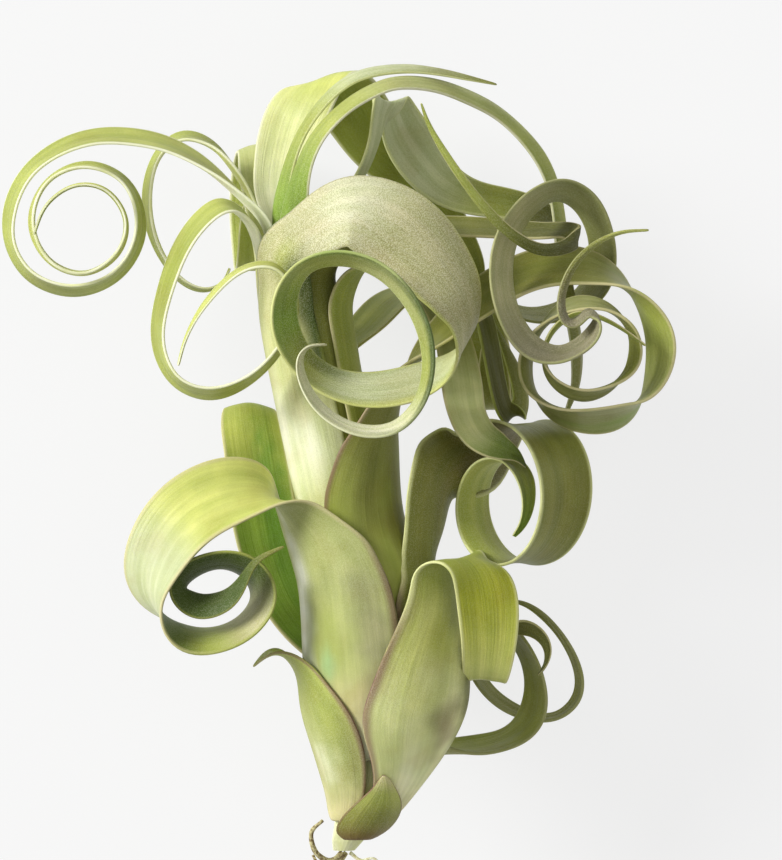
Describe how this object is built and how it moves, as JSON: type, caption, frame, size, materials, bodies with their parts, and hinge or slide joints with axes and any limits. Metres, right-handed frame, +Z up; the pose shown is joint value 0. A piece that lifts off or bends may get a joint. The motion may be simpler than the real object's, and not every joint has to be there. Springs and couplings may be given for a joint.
{
  "type": "air plant",
  "caption": "Curly-leaved air plant with a bulbous base of wrapped leaf sheaths and long tapering leaves that roll into rings, lying on its back.",
  "frame": {"origin": "on the surface it lies on, under the middle of the bounding box", "axes": "+Y from the roots to the leaf tips, +Z up from the surface to the plant's front, +X to the plant's right as seen from above"},
  "size_m": [0.1358, 0.1612, 0.0766],
  "materials": {
    "core": "smooth pale cream-green stem and leaf bases",
    "leaf_basal_scale": "matt lime to olive green leaf with fine silvery scales and lengthwise ridges",
    "leaf_lower_left": "matt lime to olive green leaf with fine silvery scales and lengthwise ridges",
    "leaf_lower_right": "matt lime to olive green leaf with fine silvery scales and lengthwise ridges",
    "leaf_front_left": "matt lime to olive green leaf with fine silvery scales and lengthwise ridges",
    "leaf_back_left": "matt lime to olive green leaf with fine silvery scales and lengthwise ridges",
    "leaf_right_curl": "matt lime to olive green leaf with fine silvery scales and lengthwise ridges",
    "leaf_right_roll": "matt lime to olive green leaf with fine silvery scales and lengthwise ridges",
    "leaf_ribbon": "matt lime to olive green leaf with fine silvery scales and lengthwise ridges",
    "leaf_front_curl": "matt lime to olive green leaf with fine silvery scales and lengthwise ridges",
    "leaf_left_loop": "matt lime to olive green leaf with fine silvery scales and lengthwise ridges",
    "leaf_top_left_ring": "matt lime to olive green leaf with fine silvery scales and lengthwise ridges",
    "leaf_upper_left_ring": "matt lime to olive green leaf with fine silvery scales and lengthwise ridges",
    "leaf_tall_wide": "matt lime to olive green leaf with fine silvery scales and lengthwise ridges",
    "leaf_top_thin": "matt lime to olive green leaf with fine silvery scales and lengthwise ridges",
    "leaf_long_arch": "matt lime to olive green leaf with fine silvery scales and lengthwise ridges",
    "leaf_hook": "matt lime to olive green leaf with fine silvery scales and lengthwise ridges",
    "leaf_right_ring": "matt lime to olive green leaf with fine silvery scales and lengthwise ridges",
    "leaf_wedge": "matt lime to olive green leaf with fine silvery scales and lengthwise ridges",
    "leaf_hanging_loop": "matt lime to olive green leaf with fine silvery scales and lengthwise ridges",
    "leaf_lower_right_ring": "matt lime to olive green leaf with fine silvery scales and lengthwise ridges",
    "leaf_rear_left_curl": "matt lime to olive green leaf with fine silvery scales and lengthwise ridges",
    "leaf_rear_right_curl": "matt lime to olive green leaf with fine silvery scales and lengthwise ridges",
    "leaf_rear_lower_curl": "matt lime to olive green leaf with fine silvery scales and lengthwise ridges",
    "root_dry_curl": "dry rough brown root",
    "root_dry_hook": "dry rough brown root",
    "root_pale": "dry rough brown root"
  },
  "bodies": {
    "root": {"core": "core", "leaf_basal_scale": "leaf_basal_scale", "leaf_lower_left": "leaf_lower_left", "leaf_lower_right": "leaf_lower_right", "leaf_front_left": "leaf_front_left", "leaf_back_left": "leaf_back_left", "leaf_right_curl": "leaf_right_curl", "leaf_right_roll": "leaf_right_roll", "leaf_ribbon": "leaf_ribbon", "leaf_front_curl": "leaf_front_curl", "leaf_left_loop": "leaf_left_loop", "leaf_top_left_ring": "leaf_top_left_ring", "leaf_upper_left_ring": "leaf_upper_left_ring", "leaf_tall_wide": "leaf_tall_wide", "leaf_top_thin": "leaf_top_thin", "leaf_long_arch": "leaf_long_arch", "leaf_hook": "leaf_hook", "leaf_right_ring": "leaf_right_ring", "leaf_wedge": "leaf_wedge", "leaf_hanging_loop": "leaf_hanging_loop", "leaf_lower_right_ring": "leaf_lower_right_ring", "leaf_rear_left_curl": "leaf_rear_left_curl", "leaf_rear_right_curl": "leaf_rear_right_curl", "leaf_rear_lower_curl": "leaf_rear_lower_curl", "root_dry_curl": "root_dry_curl", "root_dry_hook": "root_dry_hook", "root_pale": "root_pale"}
  },
  "joints": []
}
